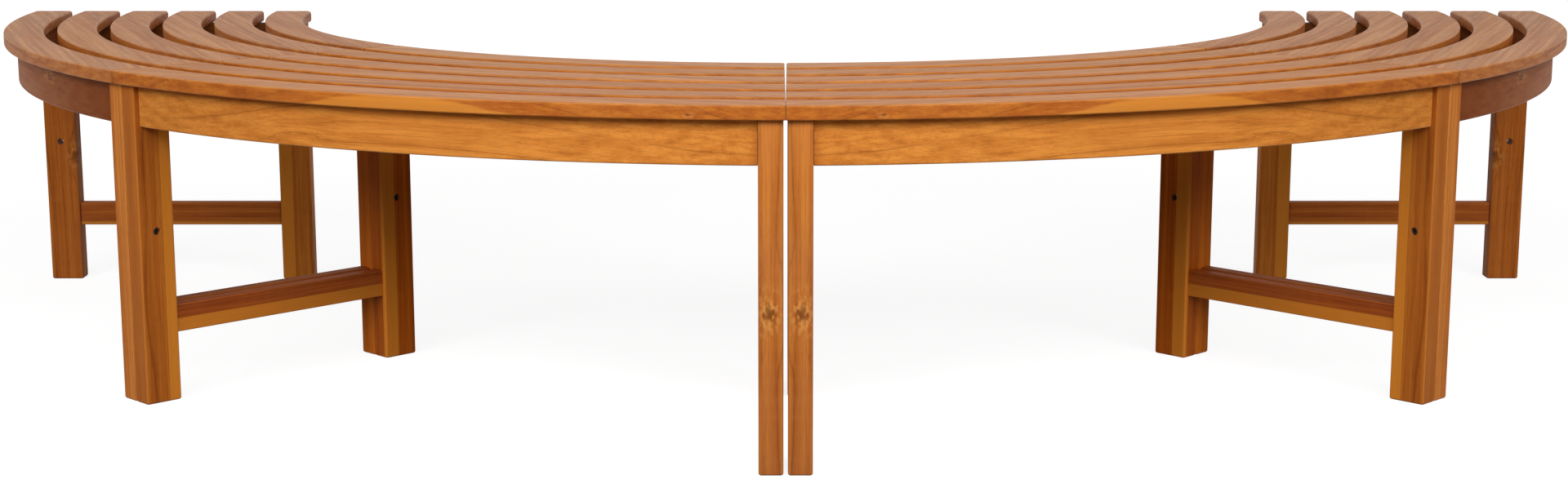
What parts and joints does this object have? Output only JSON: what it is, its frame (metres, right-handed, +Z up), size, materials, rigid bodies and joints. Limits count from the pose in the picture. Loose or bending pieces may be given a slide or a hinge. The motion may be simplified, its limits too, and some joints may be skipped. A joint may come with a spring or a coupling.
{
  "type": "half round tree bench",
  "caption": "Half round slatted hardwood bench that stands round a tree, on pairs of legs with low stretchers.",
  "frame": {"origin": "on the floor, under the middle of the bounding box; the ring centre, where the tree stands, is at x = 0, y = 0.625 m", "axes": "+X to the right along the bench's width, +Y from its convex front to the tree, +Z up"},
  "size_m": [2.5, 1.2496, 0.45],
  "materials": {
    "slat_wood": "oiled teak, lighter and greyer on top than on the edges",
    "frame_wood": "oiled teak, golden brown with darker heartwood strips",
    "stretcher_wood": "oiled teak, darker in the shade of the seat",
    "bolt_steel": "blackened steel"
  },
  "bodies": {
    "root": {"segment_1_slat_1": "slat_wood", "segment_1_slat_2": "slat_wood", "segment_1_slat_3": "slat_wood", "segment_1_slat_4": "slat_wood", "segment_1_slat_5": "slat_wood", "segment_1_slat_6": "slat_wood", "segment_1_outer_apron": "frame_wood", "segment_1_inner_apron": "frame_wood", "segment_1_outer_leg_a": "frame_wood", "segment_1_inner_leg_a": "frame_wood", "segment_1_stretcher_a": "stretcher_wood", "segment_1_outer_leg_b": "frame_wood", "segment_1_inner_leg_b": "frame_wood", "segment_1_stretcher_b": "stretcher_wood", "segment_2_slat_1": "slat_wood", "segment_2_slat_2": "slat_wood", "segment_2_slat_3": "slat_wood", "segment_2_slat_4": "slat_wood", "segment_2_slat_5": "slat_wood", "segment_2_slat_6": "slat_wood", "segment_2_outer_apron": "frame_wood", "segment_2_inner_apron": "frame_wood", "segment_2_outer_leg_a": "frame_wood", "segment_2_inner_leg_a": "frame_wood", "segment_2_stretcher_a": "stretcher_wood", "segment_2_outer_leg_b": "frame_wood", "segment_2_inner_leg_b": "frame_wood", "segment_2_stretcher_b": "stretcher_wood", "segment_3_slat_1": "slat_wood", "segment_3_slat_2": "slat_wood", "segment_3_slat_3": "slat_wood", "segment_3_slat_4": "slat_wood", "segment_3_slat_5": "slat_wood", "segment_3_slat_6": "slat_wood", "segment_3_outer_apron": "frame_wood", "segment_3_inner_apron": "frame_wood", "segment_3_outer_leg_a": "frame_wood", "segment_3_inner_leg_a": "frame_wood", "segment_3_stretcher_a": "stretcher_wood", "segment_3_outer_leg_b": "frame_wood", "segment_3_inner_leg_b": "frame_wood", "segment_3_stretcher_b": "stretcher_wood", "segment_4_slat_1": "slat_wood", "segment_4_slat_2": "slat_wood", "segment_4_slat_3": "slat_wood", "segment_4_slat_4": "slat_wood", "segment_4_slat_5": "slat_wood", "segment_4_slat_6": "slat_wood", "segment_4_outer_apron": "frame_wood", "segment_4_inner_apron": "frame_wood", "segment_4_outer_leg_a": "frame_wood", "segment_4_inner_leg_a": "frame_wood", "segment_4_stretcher_a": "stretcher_wood", "segment_4_outer_leg_b": "frame_wood", "segment_4_inner_leg_b": "frame_wood", "segment_4_stretcher_b": "stretcher_wood", "joint_bolt_1": "bolt_steel", "joint_bolt_2": "bolt_steel", "joint_bolt_3": "bolt_steel", "joint_bolt_4": "bolt_steel"}
  },
  "joints": []
}
